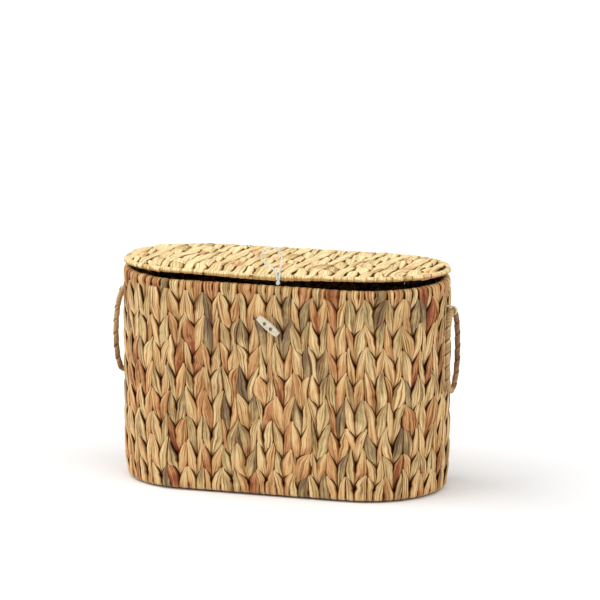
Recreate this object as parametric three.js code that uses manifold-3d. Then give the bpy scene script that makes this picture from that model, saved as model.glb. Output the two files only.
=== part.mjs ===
// Lidded basket twined from flat leaf strands over a wire frame: round-ended plan, lid hinged
// along the back, elastic loop and toggle at the front, and a rope ring at each end.
// Millimetres, +Z up, front towards -Y, origin on the floor under the middle of the base.
import * as THREE from 'three';
import { mergeVertices } from 'three/addons/utils/BufferGeometryUtils.js';
import Module from 'manifold-3d';

const wasm = await Module();
wasm.setup();

// Basket body
const BASKET_LENGTH = 360;
const BASKET_WIDTH = 176;
const RIM_HEIGHT = 230;
const WALL_THICKNESS = 10;
const BASE_THICKNESS = 10;
const FOOT_ROUND = 3;

// Courses of leaf: each swells below its wire, then narrows to tips over the course after it
const COURSE_CREST = 12;
const COURSE_TIP = 20.5;
const WALL_RELIEF = 3;
const LID_RELIEF = 2;
const LID_EDGE_WIDTH = 10;

// Gap left between pieces that touch
const CLEARANCE = 0.3;

// Wire frame
const WIRE_DIAMETER = 3;
const HOOP_COUNT = 7;
const RIB_COUNT = 5;
const UPRIGHT_X = 46;
const UPRIGHT_END_DEGREES = 60;

// Lid
const LID_THICKNESS = 8;
const LID_OVERHANG = 1;
const LID_EDGE_ROUND = 1.5;
const LID_BACK_GAP = 1.4;
const LID_LIFT_DEGREES = 1.8;
const LID_SWING_DEGREES = 100;

// Hinge bands of wrapped leaf
const HINGE_X = 70;
const HINGE_BAND_WIDTH = 10;
const HINGE_BAND_THICKNESS = 2;

// Handles: a rope ring held by a cord tie round the top hoop
const HANDLE_ROPE = 7;
const HANDLE_HEIGHT = 94;
const HANDLE_WIDTH = 47;
const HANDLE_STANDOFF = 2.5;
const HANDLE_TIE_CORD = 3;
const HANDLE_TIE_PLAY = 0.5;

// Toggle button and its thread
const TOGGLE_LENGTH = 28;
const TOGGLE_MIDDLE_WIDTH = 8.5;
const TOGGLE_END_WIDTH = 5.5;
const TOGGLE_THICKNESS = 5;
const TOGGLE_EDGE_ROUND = 0.8;
const TOGGLE_HOLE = 3;
const TOGGLE_HOLE_SPACING = 8.6;
const TOGGLE_TILT_DEGREES = 38.9;
const TOGGLE_X = 10.4;
const TOGGLE_BELOW_HOOP = 10;
const TOGGLE_THREAD = 2.4;
const TOGGLE_KNOT = 6;

// Elastic closure loop and the knot that holds it to the lid's front edge
const LOOP_CORD = 2;
const LOOP_X = 20.5;
const LOOP_UPRIGHT_DEGREES = 84;
const LOOP_STEPS = 22;
const LOOP_SIDES = 8;
const KNOT_DIAMETER = 5.2;
const KNOT_FORWARD = 2.5;
const KNOT_BELOW_LID_MIDDLE = 6.9;
const KNOT_CORD = 1.8;

// Route of the loop from one end at the knot to the other: sideways and up, in its own plane
const LOOP_ROUTE = [
  [-1.4, 3], [-1.4, 7], [-2.2, 11], [-6, 14.6], [-11.5, 17.6], [-16.4, 21.2], [-19.2, 25.6],
  [-18.9, 30.4], [-15.6, 34.8], [-10.6, 37.2], [-5.2, 36.8], [-0.4, 33.8], [2.4, 29.2],
  [3.1, 24], [2.5, 18.4], [1.6, 12.6], [1.4, 7], [1.4, 3],
];

// Facets
const ROUND_STEPS = 12;
const WIRE_SIDES = 6;
const ROPE_SIDES = 8;
const RIM_ARC_STEPS = 6;

const radians = THREE.MathUtils.degToRad;

// Derived places shared by several pieces. The plan is a straight line with round ends, so every
// outline is one distance from that line.
const halfStraight = (BASKET_LENGTH - BASKET_WIDTH) / 2;
const outerRadius = BASKET_WIDTH / 2;
const innerRadius = outerRadius - WALL_THICKNESS;
const wireRadius = WIRE_DIAMETER / 2;
const grooveRadius = wireRadius + CLEARANCE;
const frameRadius = outerRadius - WALL_THICKNESS / 2;
const rimZ = RIM_HEIGHT - WALL_THICKNESS / 2;
const baseZ = BASE_THICKNESS / 2;
const hoopPitch = (rimZ - baseZ) / (HOOP_COUNT + 1);
const hoopZ = (number) => rimZ - number * hoopPitch;
const uprightRadius = frameRadius - WIRE_DIAMETER - CLEARANCE;
const baseRadius = innerRadius - CLEARANCE;
const facetShrink = Math.cos(Math.PI / (2 * ROUND_STEPS));

const hingeY = frameRadius;
const hingeZ = rimZ;
const lidRadius = outerRadius + LID_OVERHANG;
const lidWireRadius = lidRadius - LID_THICKNESS / 2;
const lidBottomZ = RIM_HEIGHT + LID_BACK_GAP;
const lidMiddleZ = lidBottomZ + LID_THICKNESS / 2;
const lidTopZ = lidBottomZ + LID_THICKNESS;

const handleZ = hoopZ(1);
const handleX = halfStraight + outerRadius + HANDLE_STANDOFF + HANDLE_ROPE / 2;
const toggleZ = hoopZ(1) - TOGGLE_BELOW_HOOP;
const toggleBackY = -(outerRadius + CLEARANCE + TOGGLE_THREAD + CLEARANCE);

// Solid helpers

function toSolid(geometry) {
  const bare = geometry.clone();
  bare.deleteAttribute('normal');
  bare.deleteAttribute('uv');
  const merged = mergeVertices(bare);
  return new wasm.Manifold(new wasm.Mesh({
    numProp: 3,
    vertProperties: new Float32Array(merged.attributes.position.array),
    triVerts: new Uint32Array(merged.index.array),
  }));
}

function toGeometry(solid) {
  const mesh = solid.getMesh();
  const geometry = new THREE.BufferGeometry();
  geometry.setAttribute('position', new THREE.BufferAttribute(mesh.vertProperties, 3));
  geometry.setIndex(new THREE.BufferAttribute(mesh.triVerts, 1));
  geometry.computeVertexNormals();
  return geometry;
}

function cut(geometry, tools) {
  return toGeometry(tools.reduce((solid, tool) => solid.subtract(toSolid(tool)), toSolid(geometry)));
}

function join(geometries) {
  const [first, ...others] = geometries.map(toSolid);
  return toGeometry(others.reduce((solid, other) => solid.add(other), first));
}

function common(geometry, other) {
  return toGeometry(toSolid(geometry).intersect(toSolid(other)));
}

function boxBetween(low, high) {
  const size = high.map((value, axis) => value - low[axis]);
  const middle = high.map((value, axis) => (value + low[axis]) / 2);
  return new THREE.BoxGeometry(...size).translate(...middle);
}

function circleProfile(radius, sides, s, z) {
  return Array.from({ length: sides }, (_, side) => {
    const angle = (2 * Math.PI * (side + 0.5)) / sides;
    return [s + radius * Math.cos(angle), z + radius * Math.sin(angle)];
  });
}

// Sweeps a closed profile round the plan's line. A profile point is its distance from the line and
// its height, listed counterclockwise.
function planSweep(profile, lineHalf) {
  const stations = [];
  for (const end of [1, -1]) {
    for (let step = 0; step <= ROUND_STEPS; step += 1) {
      const angle = (end > 0 ? -Math.PI / 2 : Math.PI / 2) + (Math.PI * step) / ROUND_STEPS;
      stations.push([end * lineHalf, Math.cos(angle), Math.sin(angle)]);
    }
  }
  const positions = [];
  for (const [centre, outX, outY] of stations) {
    for (const [distance, height] of profile) {
      positions.push(centre + distance * outX, distance * outY, height);
    }
  }
  const count = profile.length;
  const indices = [];
  stations.forEach((_, station) => {
    const here = station * count;
    const next = ((station + 1) % stations.length) * count;
    profile.forEach((__, point) => {
      const after = (point + 1) % count;
      indices.push(here + point, next + point, next + after);
      indices.push(here + point, next + after, here + after);
    });
  });
  const geometry = new THREE.BufferGeometry();
  geometry.setAttribute('position', new THREE.Float32BufferAttribute(positions, 3));
  geometry.setIndex(indices);
  geometry.computeVertexNormals();
  return geometry;
}

function planPlate(radius, bottom, thickness, round) {
  const shape = new THREE.Shape();
  shape.absarc(halfStraight, 0, radius, -Math.PI / 2, Math.PI / 2);
  shape.absarc(-halfStraight, 0, radius, Math.PI / 2, 1.5 * Math.PI);
  const geometry = new THREE.ExtrudeGeometry(shape, {
    depth: thickness - 2 * round,
    bevelEnabled: round > 0,
    bevelThickness: round,
    bevelSize: round,
    bevelOffset: -round,
    bevelSegments: 2,
    curveSegments: ROUND_STEPS / 2,
  });
  return geometry.translate(0, 0, bottom + round);
}

// Wire frame pieces

const wireRing = (distance, z) => planSweep(circleProfile(wireRadius, WIRE_SIDES, distance, z), halfStraight);

function ribRows(ringDistance) {
  const reach = ringDistance * facetShrink - grooveRadius;
  return Array.from({ length: RIB_COUNT }, (_, row) => {
    const y = ringDistance * ((2 * (row + 1)) / (RIB_COUNT + 1) - 1);
    const half = halfStraight + Math.sqrt(reach ** 2 - (Math.abs(y) + wireRadius) ** 2);
    return { y, half };
  });
}

function ribWire({ y, half }, z) {
  const wire = new THREE.CylinderGeometry(wireRadius, wireRadius, 2 * half, WIRE_SIDES);
  return wire.rotateZ(Math.PI / 2).translate(0, y, z);
}

function uprightPlaces() {
  const angle = radians(UPRIGHT_END_DEGREES);
  const places = [];
  for (const side of [-1, 1]) {
    for (const end of [-1, 1]) {
      places.push({ line: end * UPRIGHT_X, outX: 0, outY: side });
      places.push({ line: end * halfStraight, outX: end * Math.cos(angle), outY: side * Math.sin(angle) });
    }
  }
  return places;
}

function uprightWire({ line, outX, outY }) {
  const wire = new THREE.CylinderGeometry(wireRadius, wireRadius, rimZ - baseZ, WIRE_SIDES);
  wire.rotateX(Math.PI / 2);
  return wire.translate(line + uprightRadius * outX, uprightRadius * outY, (rimZ + baseZ) / 2);
}

function uprightChannel({ line, outX, outY }) {
  const inside = innerRadius - WALL_THICKNESS / 2;
  const outside = uprightRadius + grooveRadius;
  const channel = boxBetween(
    [inside, -grooveRadius, baseZ - CLEARANCE],
    [outside, grooveRadius, rimZ + CLEARANCE],
  );
  return channel.rotateZ(Math.atan2(outY, outX)).translate(line, 0, 0);
}

// Woven wall: rounded over the rim wire, with a course of leaf outside and a groove open to the inside
// for each ring of wire

function wallProfile() {
  const points = [];
  for (let step = 0; step <= 2; step += 1) {
    const angle = (Math.PI / 4) * step;
    points.push([
      outerRadius - FOOT_ROUND + FOOT_ROUND * Math.sin(angle),
      FOOT_ROUND - FOOT_ROUND * Math.cos(angle),
    ]);
  }
  for (let course = HOOP_COUNT; course >= 0; course -= 1) {
    points.push([outerRadius, hoopZ(course) - COURSE_CREST]);
    if (course > 0) {
      points.push([outerRadius - WALL_RELIEF, hoopZ(course - 1) - COURSE_TIP]);
    }
  }
  const topRadius = WALL_THICKNESS / 2;
  const lastAngle = Math.PI - Math.asin(grooveRadius / topRadius);
  for (let step = 0; step <= RIM_ARC_STEPS; step += 1) {
    const angle = (lastAngle * step) / RIM_ARC_STEPS;
    points.push([frameRadius + topRadius * Math.cos(angle), rimZ + topRadius * Math.sin(angle)]);
  }
  const wireHeights = [rimZ, ...Array.from({ length: HOOP_COUNT }, (_, hoop) => hoopZ(hoop + 1)), baseZ];
  wireHeights.forEach((z, ring) => {
    if (ring > 0) {
      points.push([innerRadius, z + grooveRadius]);
    }
    points.push([frameRadius + grooveRadius, z + grooveRadius]);
    points.push([frameRadius + grooveRadius, z - grooveRadius]);
    points.push([innerRadius, z - grooveRadius]);
  });
  points.push([innerRadius, 0]);
  return points;
}

// Hinge: a band round the rim wire and the lid's back wire, turning on the rim wire with the lid

const bandInner = grooveRadius;
const bandOuter = bandInner + HINGE_BAND_THICKNESS;
const hingeRise = Math.atan2(lidMiddleZ - hingeZ, lidWireRadius - hingeY);
const hingeReach = Math.hypot(lidMiddleZ - hingeZ, lidWireRadius - hingeY);

function hingeBand(x) {
  const halfWidth = HINGE_BAND_WIDTH / 2;
  const profile = [
    [bandInner, -halfWidth], [bandOuter, -halfWidth], [bandOuter, halfWidth], [bandInner, halfWidth],
  ];
  const band = planSweep(profile, hingeReach / 2);
  band.rotateX(Math.PI / 2).rotateZ(Math.PI / 2).rotateX(hingeRise);
  return band.translate(x, (hingeY + lidWireRadius) / 2, (hingeZ + lidMiddleZ) / 2);
}

// The wall's notch leaves room for the band down to where it points with the lid fully open
function hingeNotch(x) {
  const halfWidth = HINGE_BAND_WIDTH / 2 + CLEARANCE;
  const dip = radians(LID_LIFT_DEGREES + LID_SWING_DEGREES) - hingeRise;
  const depth = bandOuter / Math.cos(dip) + (WALL_THICKNESS / 2) * Math.tan(dip) + CLEARANCE;
  return boxBetween(
    [x - halfWidth, innerRadius - WALL_THICKNESS, hingeZ - depth],
    [x + halfWidth, outerRadius + WALL_THICKNESS, RIM_HEIGHT + WALL_THICKNESS],
  );
}

// The band leans, so its front side reaches furthest forward at the lid's underside
function lidHingeNotch(x) {
  const halfWidth = HINGE_BAND_WIDTH / 2 + CLEARANCE;
  const forward = bandOuter / Math.sin(hingeRise) + LID_THICKNESS / 2 / Math.tan(hingeRise) + CLEARANCE;
  return boxBetween(
    [x - halfWidth, lidWireRadius - forward, lidBottomZ - LID_THICKNESS],
    [x + halfWidth, lidRadius + LID_THICKNESS, lidTopZ + LID_THICKNESS],
  );
}

// Handles

const tieInner = HANDLE_ROPE / 2 + HANDLE_TIE_PLAY;
const tieOuter = tieInner + HANDLE_TIE_CORD;
const tieMiddle = tieInner + HANDLE_TIE_CORD / 2;

function handleRing(end) {
  const ropeRadius = HANDLE_ROPE / 2;
  const legHalf = HANDLE_WIDTH / 2 - ropeRadius;
  const ring = planSweep(
    circleProfile(ropeRadius, ROPE_SIDES, legHalf, 0),
    (HANDLE_HEIGHT - HANDLE_WIDTH) / 2,
  );
  ring.rotateY(Math.PI / 2);
  return ring.translate(end * handleX, 0, handleZ + ropeRadius - HANDLE_HEIGHT / 2);
}

function handleTie(end) {
  const wireX = halfStraight + frameRadius;
  const innerEnd = wireX - grooveRadius + tieInner;
  const tie = planSweep(
    circleProfile(HANDLE_TIE_CORD / 2, ROPE_SIDES, tieMiddle, 0),
    (handleX - innerEnd) / 2,
  );
  tie.rotateX(Math.PI / 2);
  return tie.translate((end * (handleX + innerEnd)) / 2, 0, handleZ);
}

function handleSlot(end) {
  const halfWidth = HANDLE_TIE_CORD / 2 + CLEARANCE;
  const halfHeight = tieOuter + CLEARANCE;
  const slot = boxBetween(
    [halfStraight + innerRadius - WALL_THICKNESS, -halfWidth, handleZ - halfHeight],
    [halfStraight + outerRadius + WALL_THICKNESS, halfWidth, handleZ + halfHeight],
  );
  return end > 0 ? slot : slot.rotateZ(Math.PI);
}

// Toggle: a flat tapered button with two holes, on a thread that runs through the wall to a knot

function placeAtToggle(geometry) {
  geometry.rotateX(Math.PI / 2).rotateY(radians(TOGGLE_TILT_DEGREES));
  return geometry.translate(TOGGLE_X, toggleBackY, toggleZ);
}

function toggleButton() {
  const half = TOGGLE_LENGTH / 2;
  const endHalf = TOGGLE_END_WIDTH / 2;
  const swell = TOGGLE_MIDDLE_WIDTH - endHalf;
  const shape = new THREE.Shape();
  shape.moveTo(-half, -endHalf);
  shape.quadraticCurveTo(0, -swell, half, -endHalf);
  shape.lineTo(half, endHalf);
  shape.quadraticCurveTo(0, swell, -half, endHalf);
  shape.lineTo(-half, -endHalf);
  for (const side of [-1, 1]) {
    const hole = new THREE.Path();
    hole.absarc((side * TOGGLE_HOLE_SPACING) / 2, 0, TOGGLE_HOLE / 2, 0, 2 * Math.PI, true);
    shape.holes.push(hole);
  }
  const button = new THREE.ExtrudeGeometry(shape, {
    depth: TOGGLE_THICKNESS - 2 * TOGGLE_EDGE_ROUND,
    bevelThickness: TOGGLE_EDGE_ROUND,
    bevelSize: TOGGLE_EDGE_ROUND,
    bevelOffset: -TOGGLE_EDGE_ROUND,
    bevelSegments: 2,
    curveSegments: 6,
  });
  return placeAtToggle(button.translate(0, 0, TOGGLE_EDGE_ROUND));
}

// Local Z here points out of the wall, from the back of the button
function threadRod(radius, x, from, to) {
  const rod = new THREE.CylinderGeometry(radius, radius, to - from, ROPE_SIDES);
  return rod.rotateX(Math.PI / 2).translate(x, 0, (from + to) / 2);
}

function toggleTie() {
  const barMiddle = -CLEARANCE - TOGGLE_THREAD / 2;
  const wallInside = toggleBackY + innerRadius;
  const knotMiddle = wallInside - CLEARANCE - TOGGLE_KNOT / 2;
  const strandRadius = TOGGLE_HOLE / 2 - CLEARANCE;
  const bar = new THREE.CapsuleGeometry(TOGGLE_THREAD / 2, TOGGLE_HOLE_SPACING, 3, ROPE_SIDES);
  const pieces = [
    bar.rotateZ(Math.PI / 2).translate(0, 0, barMiddle),
    threadRod(TOGGLE_THREAD / 2, 0, knotMiddle, barMiddle),
    new THREE.SphereGeometry(TOGGLE_KNOT / 2, ROPE_SIDES, 6).translate(0, 0, knotMiddle),
  ];
  for (const side of [-1, 1]) {
    const x = (side * TOGGLE_HOLE_SPACING) / 2;
    pieces.push(threadRod(strandRadius, x, barMiddle, TOGGLE_THICKNESS - TOGGLE_EDGE_ROUND));
  }
  return placeAtToggle(join(pieces));
}

function toggleHole() {
  const hole = threadRod(TOGGLE_THREAD / 2 + CLEARANCE, 0, -2 * WALL_THICKNESS, 0);
  return placeAtToggle(hole.translate(0, 0, -CLEARANCE));
}

// Closure loop and its knot, in the lid's own level frame

const knotY = -(lidRadius + KNOT_FORWARD);
const knotZ = lidMiddleZ - KNOT_BELOW_LID_MIDDLE;
const knotEyeRadius = grooveRadius + KNOT_CORD / 2;

function closureLoop() {
  const upright = radians(LOOP_UPRIGHT_DEGREES);
  const route = LOOP_ROUTE.map(([aside, up]) => new THREE.Vector3(
    LOOP_X + aside,
    knotY + up * Math.cos(upright),
    knotZ + up * Math.sin(upright),
  ));
  const section = new THREE.Shape();
  circleProfile(LOOP_CORD / 2, LOOP_SIDES, 0, 0).forEach(([x, y], point) => {
    if (point === 0) {
      section.moveTo(x, y);
    } else {
      section.lineTo(x, y);
    }
  });
  return new THREE.ExtrudeGeometry(section, {
    steps: LOOP_STEPS,
    extrudePath: new THREE.CatmullRomCurve3(route),
  });
}

function loopKnot() {
  const dy = knotY + lidWireRadius;
  const dz = knotZ - lidMiddleZ;
  const reach = Math.hypot(dy, dz);
  const eye = new THREE.TorusGeometry(knotEyeRadius, KNOT_CORD / 2, ROPE_SIDES, 2 * ROPE_SIDES);
  const stem = new THREE.CylinderGeometry(KNOT_CORD / 2, KNOT_CORD / 2, reach - knotEyeRadius, ROPE_SIDES);
  const knot = new THREE.SphereGeometry(KNOT_DIAMETER / 2, ROPE_SIDES, 6);
  const anchor = join([
    eye.rotateY(Math.PI / 2),
    stem.translate(0, (reach + knotEyeRadius) / 2, 0),
    knot.translate(0, reach, 0),
  ]);
  return anchor.rotateX(Math.atan2(dz, dy)).translate(LOOP_X, -lidWireRadius, lidMiddleZ);
}

function lidKnotNotch() {
  const halfWidth = KNOT_CORD / 2 + CLEARANCE;
  const eyeOuter = knotEyeRadius + KNOT_CORD / 2;
  return boxBetween(
    [LOOP_X - halfWidth, -lidRadius - LID_THICKNESS, lidBottomZ - LID_THICKNESS],
    [LOOP_X + halfWidth, -lidWireRadius + eyeOuter + CLEARANCE, lidTopZ + LID_THICKNESS],
  );
}

// Woven solids, cut for the wires and ties that they hold

function wovenWall() {
  const tools = uprightPlaces().map(uprightChannel);
  for (const end of [-1, 1]) {
    tools.push(hingeNotch(end * HINGE_X), handleSlot(end));
  }
  tools.push(toggleHole());
  return cut(planSweep(wallProfile(), halfStraight), tools);
}

// Each rib's groove runs on past the rib's end, into the groove of the ring that it meets
function ribGroove({ y, half }, low, high) {
  const far = half + WIRE_DIAMETER;
  return boxBetween([-far, y - grooveRadius, low], [far, y + grooveRadius, high]);
}

function wovenBase() {
  const grooves = ribRows(frameRadius).map((rib) => (
    ribGroove(rib, baseZ - grooveRadius, BASE_THICKNESS + grooveRadius)
  ));
  return cut(planPlate(baseRadius, 0, BASE_THICKNESS, 0), grooves);
}

// The valley between each course of the lid and the next, inside its rolled edge
function lidValleys() {
  const field = planPlate(lidRadius - LID_EDGE_WIDTH, lidMiddleZ, LID_THICKNESS, 0);
  const pitch = (2 * lidWireRadius) / (RIB_COUNT + 1);
  const half = halfStraight + lidRadius;
  return Array.from({ length: RIB_COUNT }, (_, course) => {
    const wireY = course * pitch - lidWireRadius;
    const shape = new THREE.Shape([
      new THREE.Vector2(wireY + COURSE_CREST, lidTopZ),
      new THREE.Vector2(wireY + COURSE_TIP, lidTopZ - LID_RELIEF),
      new THREE.Vector2(wireY + pitch + COURSE_CREST, lidTopZ),
      new THREE.Vector2(wireY + pitch + COURSE_CREST, lidTopZ + LID_RELIEF),
      new THREE.Vector2(wireY + COURSE_CREST, lidTopZ + LID_RELIEF),
    ]);
    const valley = new THREE.ExtrudeGeometry(shape, { depth: 2 * half, bevelEnabled: false });
    valley.rotateX(Math.PI / 2).rotateZ(Math.PI / 2).translate(-half, 0, 0);
    return common(valley, field);
  });
}

function wovenLid() {
  const low = lidBottomZ - grooveRadius;
  const high = lidMiddleZ + grooveRadius;
  const ringGroove = planSweep([
    [lidWireRadius - grooveRadius, low], [lidWireRadius + grooveRadius, low],
    [lidWireRadius + grooveRadius, high], [lidWireRadius - grooveRadius, high],
  ], halfStraight);
  const ribGrooves = ribRows(lidWireRadius).map((rib) => ribGroove(rib, low, high));
  const notches = [-1, 1].map((end) => lidHingeNotch(end * HINGE_X));
  const plate = planPlate(lidRadius, lidBottomZ, LID_THICKNESS, LID_EDGE_ROUND);
  return cut(plate, [ringGroove, ...ribGrooves, ...lidValleys(), ...notches, lidKnotNotch()]);
}

// Materials

const finish = (color, roughness, metalness = 0) => ({ color, roughness, metalness });
const LEAF = finish(0xc39a5f, 0.8);
const STEEL = finish(0x6f6a62, 0.5, 0.8);
const ROPE = finish(0xa98455, 0.85);
const PALE_CORD = finish(0xcbb68a, 0.85);
const BONE = finish(0xe3d9c2, 0.5);
const ELASTIC = finish(0xf0ece2, 0.7);

// Assembly

const basket = new THREE.Group();

function addPiece(group, name, geometry, look) {
  const mesh = new THREE.Mesh(geometry, new THREE.MeshStandardMaterial(look));
  mesh.name = name;
  group.add(mesh);
}

addPiece(basket, 'woven_wall', wovenWall(), LEAF);
addPiece(basket, 'woven_base', wovenBase(), LEAF);
addPiece(basket, 'rim_wire', wireRing(frameRadius, rimZ), STEEL);
addPiece(basket, 'base_wire', wireRing(frameRadius, baseZ), STEEL);
for (let hoop = 1; hoop <= HOOP_COUNT; hoop += 1) {
  addPiece(basket, `hoop_wire_${hoop}`, wireRing(frameRadius, hoopZ(hoop)), STEEL);
}
uprightPlaces().forEach((place, index) => {
  addPiece(basket, `upright_wire_${index + 1}`, uprightWire(place), STEEL);
});
ribRows(frameRadius).forEach((rib, index) => {
  addPiece(basket, `base_rib_${index + 1}`, ribWire(rib, baseZ), STEEL);
});
for (const [side, end] of [['left', -1], ['right', 1]]) {
  addPiece(basket, `handle_ring_${side}`, handleRing(end), ROPE);
  addPiece(basket, `handle_tie_${side}`, handleTie(end), PALE_CORD);
}
addPiece(basket, 'toggle_button', toggleButton(), BONE);
addPiece(basket, 'toggle_tie', toggleTie(), PALE_CORD);

// The lid and what rides on it turn about the rim wire along the back
const lidPivot = new THREE.Group();
lidPivot.position.set(0, hingeY, hingeZ);
lidPivot.rotation.x = -radians(LID_LIFT_DEGREES);
const lid = new THREE.Group();
lid.position.set(0, -hingeY, -hingeZ);
lidPivot.add(lid);
basket.add(lidPivot);

addPiece(lid, 'woven_lid', wovenLid(), LEAF);
addPiece(lid, 'lid_wire', wireRing(lidWireRadius, lidMiddleZ), STEEL);
ribRows(lidWireRadius).forEach((rib, index) => {
  addPiece(lid, `lid_rib_${index + 1}`, ribWire(rib, lidMiddleZ), STEEL);
});
for (const [side, end] of [['left', -1], ['right', 1]]) {
  addPiece(lid, `hinge_band_${side}`, hingeBand(end * HINGE_X), LEAF);
}
addPiece(lid, 'loop_knot', loopKnot(), ELASTIC);
addPiece(lid, 'closure_loop', closureLoop(), ELASTIC);

export default basket;
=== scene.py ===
from collections import namedtuple
from math import atan2, ceil, copysign, cos, pi, radians, sin, sqrt

import bpy
import numpy as np
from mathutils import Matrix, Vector


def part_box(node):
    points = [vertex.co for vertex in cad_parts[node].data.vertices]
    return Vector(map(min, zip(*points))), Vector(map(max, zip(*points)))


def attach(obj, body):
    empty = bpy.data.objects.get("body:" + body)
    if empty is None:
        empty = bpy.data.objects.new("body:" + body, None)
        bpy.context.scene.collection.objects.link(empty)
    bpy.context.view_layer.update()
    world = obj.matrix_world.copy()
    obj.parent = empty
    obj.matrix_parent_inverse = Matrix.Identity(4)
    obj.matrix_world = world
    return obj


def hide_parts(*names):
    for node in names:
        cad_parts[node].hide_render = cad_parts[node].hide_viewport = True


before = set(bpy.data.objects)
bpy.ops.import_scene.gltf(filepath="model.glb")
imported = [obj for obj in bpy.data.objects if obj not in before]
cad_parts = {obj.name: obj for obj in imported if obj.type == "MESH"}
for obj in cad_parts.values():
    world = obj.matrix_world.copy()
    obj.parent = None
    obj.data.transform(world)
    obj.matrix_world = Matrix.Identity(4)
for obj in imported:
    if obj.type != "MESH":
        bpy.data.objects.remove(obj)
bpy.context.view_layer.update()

# Lengths are millimetres in the frame of the part, and become metres as a mesh is made.
MM = 0.001
TURN = 2 * pi


def node_box(node):
    """Lowest and highest corner of a frame node, in millimetres."""
    low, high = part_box(node)
    return np.array(low) / MM, np.array(high) / MM


def middle_of(node):
    """Middle of a frame node's box."""
    low, high = node_box(node)
    return (low + high) / 2


# Plan of the basket: two straights joined by two half rounds, with the wires in the middle of the wall.
WALL_THICKNESS = 10
wall_high = node_box("woven_wall")[1]
RING_RADIUS = wall_high[1] - WALL_THICKNESS / 2
HALF_STRAIGHT = wall_high[0] - wall_high[1]
RING_LENGTH = 2 * (pi * RING_RADIUS + 2 * HALF_STRAIGHT)
RIM_Z = middle_of("rim_wire")[2]
BASE_Z = middle_of("base_wire")[2]
HOOPS = sum(name.startswith("hoop_wire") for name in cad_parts)
UPRIGHTS = [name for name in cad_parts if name.startswith("upright_wire")]
WIRE_RADIUS = 1.5

# Seeds of the random draws.
SEEDS = {
    "wall": 11, "lid_edge": 23, "lid_weave": 31, "base_weave": 37, "handle": 41, "tie": 47, "hinge": 53,
    "loop": 61, "knot": 67, "thread": 71,
}

# Weaves: strands twined round wires. Places along a strand are counted in rows, from wire to wire.
ROW_STEPS = 13
FOLD_STEPS = 7
FEWEST_STEPS = 6
# A leaf shows from HEAD_REACH above its wire, where its pointed head lies over the tails of the leaves
# above, to TAIL_REACH below it, then dives inside the next wire.
HEAD_REACH = 0.9
TAIL_REACH = 0.75
# Outline of a leaf: how straight its ends taper, how its head's length varies, and its tail's length.
HEAD_STRAIGHT = 0.72
HEAD_VARIES = 0.07
TAIL_STRAIGHT = 0.5
TAIL_LENGTH = 0.56
TAIL_HIDDEN = 0.08
# A pit holds the edge back from before the head's widest place to after it.
PIT_BEFORE = 0.12
PIT_AFTER = 0.06
PIT_EASE = 0.1
# Height of a leaf over its wire, in shares of the weave's lift, from its head to its hidden part.
LIFT_TURNS = [-HEAD_REACH, -0.6, -0.3, 0, 0.25, 0.5, TAIL_REACH, 0.93]
LIFT_SHARES = [0.6, 1.1, 1.1, 0.95, 0.75, 0.45, 0.0, -1]
# Width of a leaf in its column, its least half width, and how its middle swells and leans.
LEAF_FILL = 1.13
LEAF_TIP = 1.5
LEAF_SWELL = 0.17
SWELL_LIFT = 2.5
LEAF_LEAN = 1.1
LEAF_MIDDLE = -0.07
MIDDLE_REACH = (0.5, 0.3)
LEAF_JITTER = 0.04
LEAF_HALF_THICK = 1.9
LEAF_THINS = 0.4
# The hidden part of a strand, in halves of a column.
INNER_WIDTH = 1.38
INNER_ROUND = 0.25
# Painted shade of a tail as it dives under the heads below, and of the hidden part.
TAIL_SHADE = 0.6
TAIL_DARK = 0.95
TAIL_SHADE_PLACE = (0.45, 0.4)
INNER_SHADE = 0.75
INNER_SHADE_PLACE = (TAIL_REACH, 0.06)
# Strands run straight at the end wires, over this much of a row.
END_ROWS = 0.25
# The leaves of a foot are hurried on, and parted by pits over the last of their row.
FOOT_HURRY = 0.1
FOOT_PIT = 0.42
FOOT_PIT_ROWS = 0.7
FOOT_PIT_EASE = 0.35
# Colours of leaves: usual tints, the share of odd ones, the change along a leaf, and red-brown stains.
LEAF_TINT = 0.51
TINT_SPREAD = 0.16
ODD_LEAVES = 0.33
ODD_TINTS = (0.02, 0.98)
TINT_DRIFT = 0.14
STAIN_AMOUNTS = (0.5, 1.0)
STAIN_PLACES = (-0.5, 0.6)
STAIN_LENGTHS = (0.15, 0.4)
HIDDEN_TINT = 0.4
HIDDEN_PLACE = (0.8, 0.2)
SPARE_LEAVES = 5
# Leaves of a weave: the share that is stained, how plump they are, how much painted shade darkens their
# tails, how deep the pits between them, the head's share of a leaf, and whether the last ones stand on a
# foot.
Style = namedtuple("Style", "stained plump shade pit head foot")
WALL_STYLE = Style(stained=0.17, plump=1.0, shade=1.0, pit=0.3, head=0.45, foot=True)
MAT_STYLE = Style(stained=0.05, plump=1.5, shade=0.85, pit=0.22, head=0.42, foot=False)

# The wall.
WALL_COLUMNS = 90
WALL_PIECES = 6
WALL_LIFT = 3.3
EDGE_WANDER = 1.8
ROW_JITTER = 0.1
# Strands pass over the uprights, which lie inside the hoops.
UPRIGHT_BULGE = 0.95
UPRIGHT_REACH = 7.5
# The rim lies higher at the left end and the back, and lower at the front right.
RIM_RISE = 2.0
RIM_BACK_RISE = 2.8
RIM_RISE_ROWS = 0.4
RIM_DIP = 1.0
RIM_DIP_PLACE = (95, 75)
# Strands are wider over the rim at the back, and browner all round it.
RIM_SPREAD = 0.32
RIM_SPREAD_ROWS = 0.6
RIM_BROWN = 0.06
RIM_BROWN_ROWS = 0.5
# At the rim, this many columns on each side of a hinge step aside.
HINGE_COLUMNS = 2.2
HINGE_ROWS = 0.55
HINGE_X = 70
HINGE_GAP = 5.6
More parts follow.
